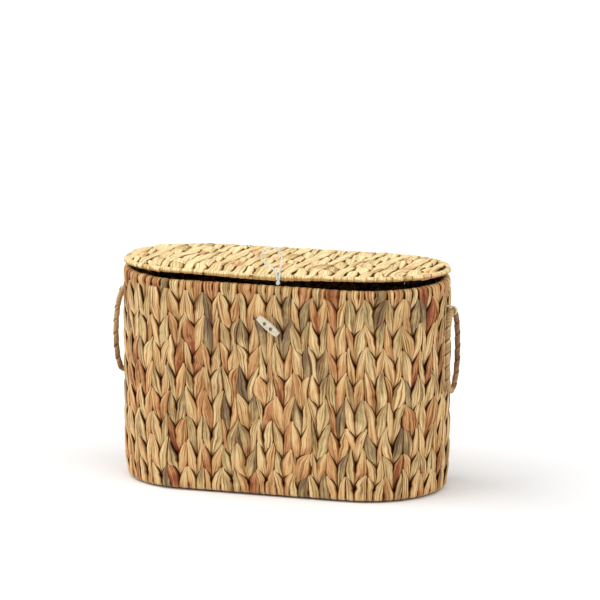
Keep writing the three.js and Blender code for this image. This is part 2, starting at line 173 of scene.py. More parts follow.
# The foot is drawn in and up, darkened underneath with painted shade, and pressed flat on the floor.
FOOT_TUCK = 2.6
FOOT_RISE = 1.6
FOOT_RISE_ROWS = 0.9
FOOT_DARK = 0.97
FOOT_SHADE = 2.4
FLOOR_GAP = 0.03

# The lid rests a little open, turned about the rim wire at the back. Its weave lies a little to the right on
# its wire, with its right end up.
LID_MIDDLE_Z = 235.4
LID_LIFT = radians(1.8)
LID_WIRE_RADIUS = 85
LID_SHIFT = 0.6
LID_ROLL = 1.3

# Flat mats, of the lid and of the base.
Mat = namedtuple("Mat", "name columns rows ring_radius end_radius lift middle_z")
LID_MAT = Mat("lid_weave", 25, 6, LID_WIRE_RADIUS, 83, 3.1, LID_MIDDLE_Z)
BASE_MAT = Mat("base_weave", 33, 6, RING_RADIUS, 73.5, 3.0, BASE_Z)
MAT_LINE = 1.1
MAT_EDGE_WANDER = 2.4
MAT_ROW_JITTER = 0.15
# Strands thin to MAT_THIN at the mat's edge, and the outermost reaches END_REACH each way.
MAT_THIN = 0.5
MAT_THIN_ROWS = 0.45
END_REACH = 10

# The lid's edge: strands of varied width round its wire, higher at the back.
WRAP_CENTRE = 84.5
WRAP_PITCH = 10.2
WRAP_WIDTHS = (0.6, 1.5)
WRAP_OVERLAP = (0.1, 0.5)
WRAP_HALF_DEPTH = 2.3
WRAP_HALF_HEIGHT = 1.8
WRAP_BACK = 1.0
WRAP_ROUNDNESS = 0.75
WRAP_HALF_THICK = 0.9
WRAP_PUFF = 0.25
WRAP_SLANT = 0.25
WRAP_STEPS = 28
WRAP_LINE = 0.8
# Painted shade on the lower half of each strand round the lid's edge wire.
WRAP_SHADE = 0.76
WRAP_SHADE_BELOW = 0.75
# It sags at the front, its underside more than its top.
LID_SAG = 3.2
LID_SAG_TOP = 0.45
LID_SAG_PLACE = (5, 60)

# Handles: rope rings wound with a strip of leaf, more tightly where they hang in their ties.
HANDLE_RADIUS = 3.2
HANDLE_LEDGE = 0.7
HANDLE_ROUNDNESS = 0.86
HANDLE_PITCH = 14
HANDLE_TIGHT_PITCH = 3.4
HANDLE_TIGHT_PLACE = (0.62, 0.12)
ROPE_SIDES = 24
ROPE_STEP = 0.5
# Tints: the right ring is browner on its far side, the left one below.
RIGHT_TINT = 0.62
RIGHT_FAR_TINT = -0.3
LEFT_TINT = 0.36
LEFT_TOP_TINT = 0.42
LEFT_TOP_OVER = 0.7
LEFT_TIGHT_TINT = 0.1
HANDLE_TINTS = (9, 0.07)
# How far out each ring lies at its top, waist and bottom.
HANDLE_BOWS = {"left": (-0.1, 1.8, -0.4), "right": (-0.1, 0.2, -1.0)}

# Cords: diameter, number of plies, pitch of their twist, and sides of their section.
Cord = namedtuple("Cord", "diameter plies pitch sides")
TIE_CORD = Cord(1.8, 2, 4.5, 12)
THREAD_CORD = Cord(1.8, 3, 4.5, 12)
LOOP_CORD = Cord(2, 6, 7, 18)
KNOT_CORD = Cord(1.8, 6, 7, 14)
PLY_DEPTH = 0.2
PLY_ROUNDNESS = 0.7
CORD_STEP = 0.4
KNOT_STEP = 0.3
CORD_TINT = 0.5
# Ties of the handles: two turns of cord, a little apart and wavy.
TIE_SPREAD = 1.7
TIE_PLAY = 0.35
TIE_WAVE = 0.25
TIE_TINTS = (6, 0.15)

# Hinge bands: leaf wrapped round the rim wire and the lid's edge wire.
HINGE_STRANDS = 3
HINGE_WRAP_RADIUS = 3.1
HINGE_RADIUS_VARIES = 0.2
HINGE_WAVE = 0.3
HINGE_OVERLAP = 0.1
HINGE_HALF_THICK = 0.55
HINGE_STEP = 0.6

# The closure loop: an elastic cord, its route in a plane that stands on the knot below the lid's edge.
LOOP_X = 20.5
LOOP_GAP = 1.3
LOOP_KNOT = np.array([LOOP_X, -91.5, 228.5])
LOOP_UPRIGHT = radians(84)
LOOP_TINTS = (8, 0.12)
LOOP_ROUTE = [
    [-1.4, 3], [-1.4, 7], [-2.2, 11], [-6, 14.6], [-11.5, 17.6], [-16.4, 21.2],
    [-19.2, 25.6], [-18.9, 30.4], [-15.6, 34.8], [-10.6, 37.2], [-5.2, 36.8], [-0.4, 33.8],
    [2.4, 29.2], [3.1, 24], [2.5, 18.4], [1.6, 12.6], [1.4, 7], [1.4, 3],
]
KNOT_SCALE = 0.5
KNOT_TWISTS = 12
KNOT_TINT = 0.3
KNOT_EYE_RADIUS = 2.7
KNOT_EYE_SWEEP = 0.75 * pi

# The toggle, and the thread that runs through its holes to a knot inside the wall.
TOGGLE_TILT = radians(38.9)
TOGGLE_ASIDE = np.array([cos(TOGGLE_TILT), 0, -sin(TOGGLE_TILT)])
TOGGLE_HOLE_SPACING = 8.6
TOGGLE_HOLE = 3
# How far the painted shade reaches out from the rim of each hole.
TOGGLE_HOLE_SHADE = 0.9
THREAD_TINT = 0.6
THREAD_SUNK = 0.9
THREAD_TURN_IN = 0.4
THREAD_APART = 0.5
THREAD_BEHIND = 2
THREAD_KNOT_DEPTH = 3
THREAD_KNOT_SCALE = 0.62
THREAD_KNOT_TWISTS = 8

# Camera: direction, distance and frame of the photograph, 600 pixels each way.
CAMERA_AZIMUTH = radians(17.872)
CAMERA_ELEVATION = radians(12.127)
CAMERA_DISTANCE = 4313.4
CAMERA_TARGET = (0, 0, 115.2)
CAMERA_FOCAL_PIXELS = 3992
CAMERA_CENTRE_PIXELS = (286.03, 374.9)
FRAME_PIXELS = 600
SENSOR = 36

# Floor and light.
FLOOR_HALF_M = 15
WHITE = (1, 1, 1, 1)
AMBIENT = 0.44


# Numbers and paths

def seeded(name, shift=0):
    """The random draws of a piece."""
    return np.random.default_rng(SEEDS[name] + shift)


def smooth(x):
    """Eased step from 0 to 1 as x goes from 0 to 1."""
    x = np.clip(x, 0, 1)
    return x * x * (3 - 2 * x)


def hump(x, middle, reach):
    """A bell curve of height 1."""
    return np.exp(-((x - middle) / reach) ** 2)


def unit(vectors):
    """Vectors brought to length 1."""
    return vectors / np.linalg.norm(vectors, axis=-1, keepdims=True)


def rounded(x, power):
    """x raised to a power, with its sign kept."""
    return np.sign(x) * np.abs(x) ** power


def whole_turn(count, start=0.0):
    """Angles of count even steps round a circle."""
    return np.linspace(start, start + TURN, count, endpoint=False)


def ease_in(x, start, over):
    """Eased step from 0 to 1, from a start on, over a stretch."""
    return smooth((x - start) / over)


def eased(values, t):
    """Values given at whole counts, eased from one to the next."""
    low = np.clip(np.floor(t).astype(int), 0, len(values) - 2)
    share = smooth(t - low)
    return values[low] * (1 - share) + values[low + 1] * share


def wander(t, rng, step, size):
    """A smooth random value along t, with a new draw of the given size every step."""
    place = (t - np.min(t)) / step
    return eased(rng.normal(0, size, int(ceil(np.max(place))) + 3), place)


def through(keys, values, period, t):
    """A smooth periodic curve through values at the key places."""
    keys = np.asarray(keys, float)
    values = np.asarray(values, float)
    wide_keys = np.concatenate([keys[-2:] - period, keys, keys[:2] + period])
    wide_values = np.concatenate([values[-2:], values, values[:2]])
    slopes = (wide_values[2:] - wide_values[:-2]) / (wide_keys[2:] - wide_keys[:-2])
    place = keys[0] + np.mod(t - keys[0], period)
    k = np.searchsorted(wide_keys, place, side="right") - 1
    step = wide_keys[k + 1] - wide_keys[k]
    u = (place - wide_keys[k]) / step
    return (
        wide_values[k] * (1 + 2 * u) * (1 - u) ** 2
        + slopes[k - 1] * step * u * (1 - u) ** 2
        + wide_values[k + 1] * u * u * (3 - 2 * u)
        + slopes[k] * step * u * u * (u - 1)
    )


def ring(q, radius):
    """Point at a radius, and outward normal, at distance q along the wires' ring from its right-hand tip."""
    quarter = pi * RING_RADIUS / 2
    straight = 2 * HALF_STRAIGHT
    q = np.mod(np.asarray(q, float), RING_LENGTH)
    along_back = np.clip(q - quarter, 0, straight)
    along_front = np.clip(q - 3 * quarter - straight, 0, straight)
    angle = (q - along_back - along_front) / RING_RADIUS
    normal = np.stack([np.cos(angle), np.sin(angle), 0 * angle], -1)
    point = normal * np.asarray(radius)[..., None]
    point[..., 0] += HALF_STRAIGHT - along_back + along_front
    return point, normal


def ring_place(x, y):
    """Distance along the ring of the point on it nearest to x, y."""
    q = np.linspace(0, RING_LENGTH, 3600, endpoint=False)
    points = ring(q, np.full_like(q, RING_RADIUS))[0]
    return q[np.argmin(np.hypot(points[:, 0] - x, points[:, 1] - y))]


def tilt_lid(points):
    """Points drawn on a level lid, turned to where the lid rests."""
    dy = points[..., 1] - RING_RADIUS
    dz = points[..., 2] - RIM_Z
    turned = np.array(points, float)
    turned[..., 1] = RING_RADIUS + dy * cos(LID_LIFT) + dz * sin(LID_LIFT)
    turned[..., 2] = RIM_Z - dy * sin(LID_LIFT) + dz * cos(LID_LIFT)
    return turned


def settle_lid(points):
    """Points of the level lid's weave, turned to where it rests, rolled and shifted on its wire."""
    settled = tilt_lid(points)
    front = (1 - settled[..., 1] / LID_WIRE_RADIUS) / 2
    settled[..., 2] += LID_ROLL * front * settled[..., 0] / (HALF_STRAIGHT + RING_RADIUS)
    settled[..., 0] += LID_SHIFT
    return settled


def above_floor(points):
    """Points of the foot, pressed flat where it stands on the floor."""
    pressed = np.array(points)
    pressed[..., 2] = np.maximum(pressed[..., 2], FLOOR_GAP)
    return pressed


def path_length(points):
    """Distance from the first point to each point, along the path."""
    return np.concatenate([[0], np.cumsum(np.linalg.norm(np.diff(points, axis=0), axis=1))])


def even_path(points, step, closed):
    """A path through points, resampled at even steps."""
    points = np.asarray(points, float)
    if closed:
        points = np.concatenate([points, points[:1]])
    place = path_length(points)
    count = int(ceil(place[-1] / step))
    wanted = np.linspace(0, place[-1], count, endpoint=not closed)
    return np.stack([np.interp(wanted, place, points[:, axis]) for axis in range(3)], -1)


def smooth_path(points, step):
    """A Catmull-Rom curve through points, at even steps."""
    points = np.asarray(points, float)
    ends = [2 * points[0] - points[1]], [2 * points[-1] - points[-2]]
    wide = np.concatenate([ends[0], points, ends[1]])
    u = np.linspace(0, 1, 24, endpoint=False)[:, None]
    parts = []
    for a, b, c, d in zip(wide, wide[1:], wide[2:], wide[3:]):
        bend = 2 * a - 5 * b + 4 * c - d
        parts.append(b + (u * (c - a) + u ** 2 * bend + u ** 3 * (3 * b - a - 3 * c + d)) / 2)
    parts.append(points[-1:])
    return even_path(np.concatenate(parts), step, False)


def directions_along(centre, closed):
    """Two crossing directions square to a path, carried along it without twist."""
    if closed:
        tangent = np.roll(centre, -1, 0) - np.roll(centre, 1, 0)
    else:
        tangent = np.gradient(centre, axis=0)
    tangent = unit(tangent)
    side = np.empty_like(tangent)
    side[0] = unit(np.cross(tangent[0], np.roll(tangent[0], 1) + (0.1, 0.2, 0.3)))
    for k in range(1, len(centre)):
        side[k] = unit(side[k - 1] - side[k - 1] @ tangent[k] * tangent[k])
    up = np.cross(tangent, side)
    if closed:
        left_over = atan2(side[-1] @ up[0], side[-1] @ side[0])
        turn = -left_over * np.arange(len(centre))[:, None] / len(centre)
        side, up = np.cos(turn) * side + np.sin(turn) * up, np.cos(turn) * up - np.sin(turn) * side
    return side, up


# Strands

# Cross-section of a flat strand: places across it, and which face each lies on.
ACROSS = np.array([-1, -0.88, -0.62, -0.36, -0.1, 0.16, 0.42, 0.68, 0.9])
SECTION_U = np.concatenate([ACROSS, -ACROSS])
SECTION_FACE = np.concatenate([np.ones(len(ACROSS)), -np.ones(len(ACROSS))])
# The faces are crowned, with a shallow lengthwise fold and small dents, and never meet at the edges.
CROWN_POWER = 0.6
CROWN_DENTS = 0.06
FOLD_PLACE = 0.4
FOLD_DEPTH = 0.22
FOLD_WIDTH = 0.2
FACE_SHIFT = 0.02
# How sharply a stain ends across a strand.
STAIN_SLOPE = 1.4
# Each strand shows another stretch of the grain.
GRAIN_RANGE = 100
# Tubes: the scale of the grain's depth, how far from the winding line they darken with painted shade, and
# their thinnest end.
GRAIN_DEPTH = 3
TUBE_LINE_REACH = 2.2
TUBE_END = 0.0004


def placed(name, data):
    """A new object in the scene."""
    piece = bpy.data.objects.new(name, data)
    bpy.context.scene.collection.objects.link(piece)
    return piece


class Strands:
    """Strands gathered into one mesh, with the values that its material reads at each point."""

    def __init__(self, rng):
        self.rng = rng
        self.count = 0
        self.quads = []
        self.points = []
        self.values = {"grain": [], "tint": [], "stain": [], "edge": []}

    def add_rows(self, rows, closed, **values):
        """A skin over rows of points, each row closed on itself."""
        n, m = rows.shape[:2]
        a, b = np.meshgrid(np.arange(n if closed else n - 1), np.arange(m), indexing="ij")
        after, beside = (a + 1) % n, (b + 1) % m
        quads = np.stack([a * m + b, after * m + b, after * m + beside, a * m + beside], -1)
        self.quads.append(quads.reshape(-1, 4) + self.count)
        self.points.append(rows.reshape(-1, 3))
        for label, value in values.items():
            value = np.broadcast_to(value, (n, m, *np.shape(value)[2:]))
            self.values[label].append(value.reshape(n * m, -1))
        self.count += n * m

    def add_ribbon(self, centre, facing, half_width, half_thick, colours, line=1.0, shade=0.0, place=None):
        """A flat strand along a closed centre, its broad face turned to facing. colours are its tint, stain
        and stain's lean, line darkens its edges (partly dried leaf, partly painted shade between leaves),
        shade is painted shade over all of it, and place moves its points."""
        steps = len(centre)
        half_width = np.broadcast_to(half_width, steps)[:, None]
        half_thick = np.broadcast_to(half_thick, steps)[:, None]
        tint, stain, lean = (values[:, None] for values in colours)
        tangent = unit(np.roll(centre, -1, 0) - np.roll(centre, 1, 0))
        normal = unit(facing - np.sum(facing * tangent, 1, keepdims=True) * tangent)
        side = np.cross(tangent, normal)
        fold = self.rng.uniform(-FOLD_PLACE, FOLD_PLACE)
        crown = (1 - SECTION_U ** 2) ** CROWN_POWER
        crown *= 1 - FOLD_DEPTH * hump(SECTION_U, fold, FOLD_WIDTH)
        crown *= 1 + self.rng.normal(0, CROWN_DENTS, len(SECTION_U))
        across = (half_width * SECTION_U)[..., None]
        rise = (half_thick * (crown * SECTION_FACE + FACE_SHIFT))[..., None]
        rows = centre[:, None] + side[:, None] * across + normal[:, None] * rise
        along = path_length(centre)[:, None]
        grain = np.broadcast_arrays(
            np.mean(half_width) * SECTION_U, np.abs(along - along[-1] / 2), self.rng.uniform(0, GRAIN_RANGE),
        )
        # edge holds the edge darkening or the painted shade, whichever is darker.
        self.add_rows(
            place(rows) if place else rows, True, grain=np.stack(grain, -1), tint=tint,
            stain=stain * smooth(0.5 + STAIN_SLOPE * lean * SECTION_U),
            edge=np.maximum(line * np.abs(SECTION_U), np.broadcast_to(shade, steps)[:, None]),
        )

    def add_tube(self, centre, radius, twist, tint, closed, sides):
        """A round strand along centre. radius gives its radius at each angle, counted from a line that winds
        round it by twist, and the fibres follow that line."""
        side, up = directions_along(centre, closed)
        angle = whole_turn(sides)
        turned = np.mod(angle - twist[:, None], TURN)
        reach = radius(turned)
        along = path_length(centre)
        if not closed:
            from_end = np.minimum(along, path_length(centre[::-1])[::-1])
            reach = reach * np.sqrt(np.clip(from_end / np.mean(reach), TUBE_END, 1))[:, None]
        across = (np.cos(angle) * reach)[..., None]
        rise = (np.sin(angle) * reach)[..., None]
        middle = np.mean(reach)
        depth = self.rng.uniform(0, GRAIN_RANGE) + middle * np.sin(turned) / GRAIN_DEPTH
        grain = np.broadcast_arrays(middle * np.cos(turned), along[:, None], depth)
        # Painted shade near the winding line, which on a wound rope is the ledge where each turn laps the
        # last.
        to_line = middle * np.minimum(turned, TURN - turned)
        self.add_rows(
            centre[:, None] + (side[:, None] * across + up[:, None] * rise), closed,
            grain=np.stack(grain, -1), tint=np.broadcast_to(tint, len(centre))[:, None], stain=0.0,
            edge=np.clip(1 - to_line / TUBE_LINE_REACH, 0, 1),
        )

    def add_cord(self, centre, cord, tint, turns=None):
        """A twisted cord along centre: closed, with a whole number of turns, or else open."""
        if turns:
            twist = np.linspace(0, TURN * turns, len(centre), endpoint=False)
        else:
            twist = path_length(centre) * TURN / cord.pitch

        def radius(turned):
            ply = np.abs(np.cos(cord.plies / 2 * turned)) ** PLY_ROUNDNESS
            return cord.diameter / 2 * (1 - PLY_DEPTH + PLY_DEPTH * ply)

        self.add_tube(centre, radius, twist, tint, turns is not None, cord.sides)

    def build(self, name, material, body, node):
        """The mesh object, on its body, in place of a solid of the frame."""
        mesh = bpy.data.meshes.new(name)
        mesh.from_pydata(np.concatenate(self.points) * MM, [], np.concatenate(self.quads))
        mesh.polygons.foreach_set("use_smooth", np.ones(len(mesh.polygons), bool))
        for label, arrays in self.values.items():
            values = np.concatenate(arrays).astype(np.float32)
            kind, key = ("FLOAT", "value") if values.shape[1] == 1 else ("FLOAT_VECTOR", "vector")
            mesh.attributes.new(label, kind, "POINT").data.foreach_set(key, values.ravel())
        mesh.materials.append(material)
        mesh.validate()
        piece = placed(name, mesh)
        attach(piece, body)
        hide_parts(node)
        return piece


# Twining

# Columns twined round wires: the random draws, the wires' pitch, the columns' width, the shifts of their
# edges and of the leaves of each pair of columns at each wire, and the leaves' lift and style.
Weave = namedtuple("Weave", "rng pitch width edges shifts lift style")


def leaf_colours(t, rng, count, stained):
    """Tint, stain and the stain's lean along a strand: each of its count leaves has its own, and its hidden
    parts are plain."""
    common = rng.normal(LEAF_TINT, TINT_SPREAD, count)
    tints = np.where(rng.random(count) < ODD_LEAVES, rng.uniform(*ODD_TINTS, count), common)
    amount = np.where(rng.random(count) < stained, rng.uniform(*STAIN_AMOUNTS, count), 0)
    middle = rng.uniform(*STAIN_PLACES, count)
    spread = rng.uniform(*STAIN_LENGTHS, count)
    lean = rng.uniform(-1, 1, count)
    leaf = np.floor(t / 2 + 0.5).astype(int)
    off = t - 2 * leaf
    hidden = ease_in(np.abs(off), *HIDDEN_PLACE)
    drift = rng.normal(TINT_DRIFT, TINT_DRIFT / 2, count)
    tint = (tints[leaf] + drift[leaf] * off) * (1 - hidden) + HIDDEN_TINT * hidden
    stain = amount[leaf] * hump(off, middle[leaf], spread[leaf]) * (1 - hidden)
    return tint, stain, lean[leaf]


def leaf_edges(f, pit, head):
    """Edges of a leaf, in halves of a column, as f goes from its head to its tail. pit holds the edge back
    where the tails of the leaves above dive between two heads."""

    def taper(x, straight):
        x = np.clip(x, 0, 1)
        return straight * x + (1 - straight) * np.sin(pi / 2 * x)

    low = 1 - 2 * taper((1 - f + TAIL_HIDDEN) / TAIL_LENGTH, TAIL_STRAIGHT)
    high = -1 + 2 * taper(f / head, HEAD_STRAIGHT)
    held = ease_in(f, head - PIT_BEFORE, PIT_EASE) * (1 - ease_in(f, head + PIT_AFTER, PIT_EASE))
    return low, np.minimum(high, 1 - pit * held)


# What is known of a strand at each step: its place in rows, its shift out, the way it faces, and values that
# are carried over round an end wire.
CARRIED = ("aside", "width", "thick", "tint", "stain", "lean", "shade")
STEP_KEYS = ("t", "out", "face_out", "face_along", *CARRIED)


def twined_half(weave, column, half, t):
    """One half of a twined strand, at places t along its column. half is 0 or 1, and says at which wires it
    lies outside. hand is the side its heads point to."""
    rng, style = weave.rng, weave.style
    start, end = t[0], t[-1]
    low_edge = eased(weave.edges[column], t) - weave.width / 2
    high_edge = eased(weave.edges[column + 1], t) + weave.width / 2
    shifts = weave.shifts[(column + 1) // 2 % len(weave.shifts)]
    hand = 1 if column % 2 else -1
    column_half = (high_edge - low_edge) / 2
    near_end = smooth((t - start) / END_ROWS) * smooth((end - t) / END_ROWS)
    place = t + half + (eased(shifts, t) + wander(t, rng, 1.0, LEAF_JITTER)) * near_end
    if style.foot:
        place = place + FOOT_HURRY * np.sin(pi * np.clip(t - end + 1, 0, 1))
    turn = np.mod(place + HEAD_REACH, 2) - HEAD_REACH
    leaf = np.floor((place + HEAD_REACH) / 2).astype(int)
    count = int(ceil(end)) // 2 + SPARE_LEAVES

    pit = style.pit * rng.random(count)[leaf] * near_end
    if style.foot:
        pit = np.where(t > end - FOOT_PIT_ROWS, FOOT_PIT * smooth((end - t) / FOOT_PIT_EASE), pit)
    head = style.head + HEAD_VARIES * rng.uniform(-1, 1, count)[leaf]
    left, right = leaf_edges((turn + HEAD_REACH) / (HEAD_REACH + TAIL_REACH), pit, head)
    tail_left, tail_right = leaf_edges(np.ones(1), 0, style.head)
    tail_middle = (tail_left + tail_right) / 2
    tail_half = (tail_right - tail_left) / 2
    tip = LEAF_TIP / column_half

    shown = turn <= TAIL_REACH
    inside = np.clip((turn - TAIL_REACH) / (2 - HEAD_REACH - TAIL_REACH), 0, 1)
    crossing = tail_middle + (tip - 1 - tail_middle) * smooth(inside)
    aside = np.where(shown, np.maximum((left + right) / 2, tip - 1), crossing)
    spread = INNER_WIDTH - (tail_half + tip) / 2
    inner = tail_half + (tip - tail_half) * inside + spread * np.sin(pi * inside) ** INNER_ROUND
    width = np.where(shown, np.maximum((right - left) / 2, tip), inner)
    mid_leaf = 1 - ease_in(np.abs(turn - LEAF_MIDDLE), *MIDDLE_REACH)
    swell = np.abs(rng.normal(0, LEAF_SWELL, count))[leaf] * mid_leaf * near_end
    slant = rng.normal(0, LEAF_LEAN, count)[leaf] * turn * mid_leaf * near_end

    ends = [np.sign(np.cos(pi * (wire + half)) + 1e-9) for wire in (start, end)]
    at_end = np.where(t < (start + end) / 2, *ends)
    rise = through(LIFT_TURNS, LIFT_SHARES, 2, turn)
    # Painted shade: darker as the tail dives under the heads below, and in the hidden part.
    dark = TAIL_SHADE + (TAIL_DARK - TAIL_SHADE) * ease_in(turn, *TAIL_SHADE_PLACE)
    dark += (INNER_SHADE - dark) * ease_in(turn, *INNER_SHADE_PLACE)
    tint, stain, lean = leaf_colours(place, rng, count, style.stained)
    return dict(
        ends=ends, t=t, tint=tint, stain=stain, lean=lean,
        aside=(low_edge + high_edge) / 2 + hand * column_half * aside * near_end + slant,
        out=weave.lift * (rise * near_end + at_end * (1 - near_end)) + SWELL_LIFT * swell,
        face_out=np.full(len(t), 1.0 - 2 * half), face_along=np.zeros(len(t)),
        width=width * column_half * LEAF_FILL * np.exp(swell) + np.abs(slant),
        thick=style.plump * LEAF_HALF_THICK - LEAF_THINS * np.minimum(np.abs(turn) / TAIL_REACH, 1) ** 2,
        shade=style.shade * dark * near_end * (turn > TAIL_SHADE_PLACE[0]),
    )


def end_fold(weave, down, up, way):
    """The fold from the down half to the up half, round the first wire (way -1) or the last (way 1)."""
    k = 0 if way < 0 else -1
    side = down["ends"][k]
    lift = weave.lift
    bend = np.linspace(0, pi, FOLD_STEPS + 2)[1:-1]
    share = smooth(bend / pi)
    return dict(
        t=down["t"][k] + way * lift * np.sin(bend) / weave.pitch, out=side * lift * np.cos(bend),
        face_out=np.cos(bend), face_along=side * way * np.sin(bend),
        **{key: down[key][k] * (1 - share) + up[key][k] * share for key in CARRIED},
    )


def twined_loop(weave, column, start, end):
    """One strand folded in half round the end wires, its halves twined round the wires between. start and end
    are counted in wires. Gives the STEP_KEYS of the closed loop."""
    steps = max(FEWEST_STEPS, int(round((end - start) * ROW_STEPS)) + 1)
    t = np.linspace(start, end, steps)
    down, up = (twined_half(weave, column, half, t) for half in (0, 1))
    bottom, top = (end_fold(weave, down, up, way) for way in (1, -1))
    return {
        key: np.concatenate([down[key], bottom[key], up[key][::-1], top[key][::-1]])
        for key in STEP_KEYS
    }


# Materials

def node_maker(tree):
    """The maker of nodes in an emptied tree."""
    tree.nodes.clear()

    def make(kind, inputs=None, **settings):
        node = tree.nodes.new("ShaderNode" + kind)
        for key, value in settings.items():
            setattr(node, key, value)
        for key, value in (inputs or {}).items():
            if isinstance(value, bpy.types.NodeSocket):
                tree.links.new(value, node.inputs[key])
            else:
                node.inputs[key].default_value = value
        return node

    return make


def new_material(name):
    """An empty material and the maker of its nodes."""
    material = bpy.data.materials.new(name)
    material.use_nodes = True
    return material, node_maker(material.node_tree)


def finish_surface(make, colour, rough, relief, specular, metallic=0.0):
    """The surface shader and the output. rough is a value from 0 to 1 and the roughness at its two ends,
    relief a height with its strength and depth."""
    roughness = make("MapRange", dict(zip(("Value", "To Min", "To Max"), rough)))
    normal = make("Bump", dict(zip(("Height", "Strength", "Distance"), relief)))
    surface = make("BsdfPrincipled", {
        "Base Color": colour, "Roughness": roughness.outputs[0], "Normal": normal.outputs[0],
        "Specular IOR Level": specular, "Metallic": metallic,
    })
    make("OutputMaterial", {"Surface": surface.outputs[0]})


def attribute_value(make, name):
    """A number that the mesh holds at each point."""
    return make("Attribute", attribute_name=name).outputs["Fac"]


def maths(make, operation, a, b):
    """A sum on two values or sockets."""
    return make("Math", {0: a, 1: b}, operation=operation).outputs[0]


def mixed(make, share, a, b, blend="MIX"):
    """Colour b over colour a, by a share."""
    return make("Mix", {0: share, 6: a, 7: b}, data_type="RGBA", blend_type=blend).outputs[2]


def ramp(make, value, stops):
    """A colour ramp on value. Each stop is a place, red, green and blue."""
    node = make("ValToRGB", {"Fac": value})
    elements = node.color_ramp.elements
    while len(elements) < len(stops):
        elements.new(0.5)
    for element, (place, *colour) in zip(elements, stops):
        element.position = place
        element.color = (*colour, 1)
    return node.outputs[0]


def noise(make, place, scale, detail):
    """Cloudy noise at a place that is scaled along each axis."""
    place = make("VectorMath", {0: place, 1: scale}, operation="MULTIPLY").outputs[0]
    return make("TexNoise", {"Vector": place, "Scale": 1.0, "Detail": detail}).outputs["Fac"]


def moved_by(make, value, source, amount):
    """A value moved up and down by a noise, by an amount in all."""
    return maths(make, "ADD", value, maths(make, "MULTIPLY", maths(make, "SUBTRACT", source, 0.5), amount))


def straw_material(name, stops, lines=0.9):
    """Dried flat leaf: a colour for each leaf, fine fibres along it, blotches, red-brown stains, dark edges
    (partly dried leaf, partly painted shade between leaves) and painted shade. lines says how strong the
    fibres and creases are."""
    material, make = new_material(name)
    grain = make("Attribute", attribute_name="grain").outputs["Vector"]
    fine = noise(make, grain, (0.8, 0.018, 7.3), 4.0)
    coarse = noise(make, grain, (0.4, 0.025, 3.1), 2.0)
    blotch = noise(make, grain, (0.25, 0.11, 5.7), 4.0)
    vein = noise(make, grain, (1.1, 0.018, 4.1), 1.0)
    tint = moved_by(make, attribute_value(make, "tint"), coarse, 0.75)
    colour = ramp(make, moved_by(make, tint, blotch, 0.5), stops)
    patch = ramp(make, blotch, [(0.35, 0.2, 0.2, 0.2), (0.6, 1, 1, 1)])
    stained = maths(make, "MULTIPLY", attribute_value(make, "stain"), patch)
    red = ramp(make, coarse, [(0.35, 0.17, 0.032, 0.022), (0.65, 0.42, 0.12, 0.05)])
    colour = mixed(make, stained, colour, red)
    streak = ramp(make, fine, [
        (0.37, 0.36, 0.22, 0.11), (0.49, 0.86, 0.79, 0.7), (0.63, 1.08, 1.07, 1.05),
    ])
    colour = mixed(make, lines, colour, streak, "MULTIPLY")
    off_line = maths(make, "ABSOLUTE", maths(make, "SUBTRACT", vein, 0.5), 0.0)
    crease = ramp(make, off_line, [(0.0, 0.45, 0.29, 0.16), (0.035, 1, 1, 1)])
    colour = mixed(make, lines, colour, crease, "MULTIPLY")
    # The edge value darkens the leaf. At its edges this is partly dried leaf and partly painted shade between
    # leaves. Where strands lie in shadow, such as diving tails, the foot, the lid's edge and the inside, it
    # is wholly painted shade.
    dark_edge_and_shade = ramp(make, attribute_value(make, "edge"), [
        (0.56, 1, 1, 1), (0.74, 0.70, 0.54, 0.38), (0.83, 0.2, 0.09, 0.03),
        (0.9, 0.035, 0.015, 0.005),
    ])
    colour = mixed(make, 1.0, colour, dark_edge_and_shade, "MULTIPLY")
    depth = maths(make, "ADD", maths(make, "MULTIPLY", fine, 0.55), maths(make, "MULTIPLY", coarse, 0.45))
    finish_surface(make, colour, (fine, 0.8, 0.6), (depth, 0.6, 0.0009), 0.1)
    return material


def cord_material(name, stops, lines):
    """Twisted cord: fine threads that differ by lines."""
    material, make = new_material(name)
    grain = make("Attribute", attribute_name="grain").outputs["Vector"]
    fibre = noise(make, grain, (4.0, 0.6, 12.0), 3.0)
    colour = ramp(make, moved_by(make, attribute_value(make, "tint"), fibre, lines), stops)
    finish_surface(make, colour, (fibre, 0.85, 0.6), (fibre, 0.5, 0.0004), 0.3)
    return material


def toggle_hole(way):
    """Middle of the toggle's upper left (way -1) or lower right hole, in millimetres."""
    return middle_of("toggle_button") + way * TOGGLE_HOLE_SPACING / 2 * TOGGLE_ASIDE


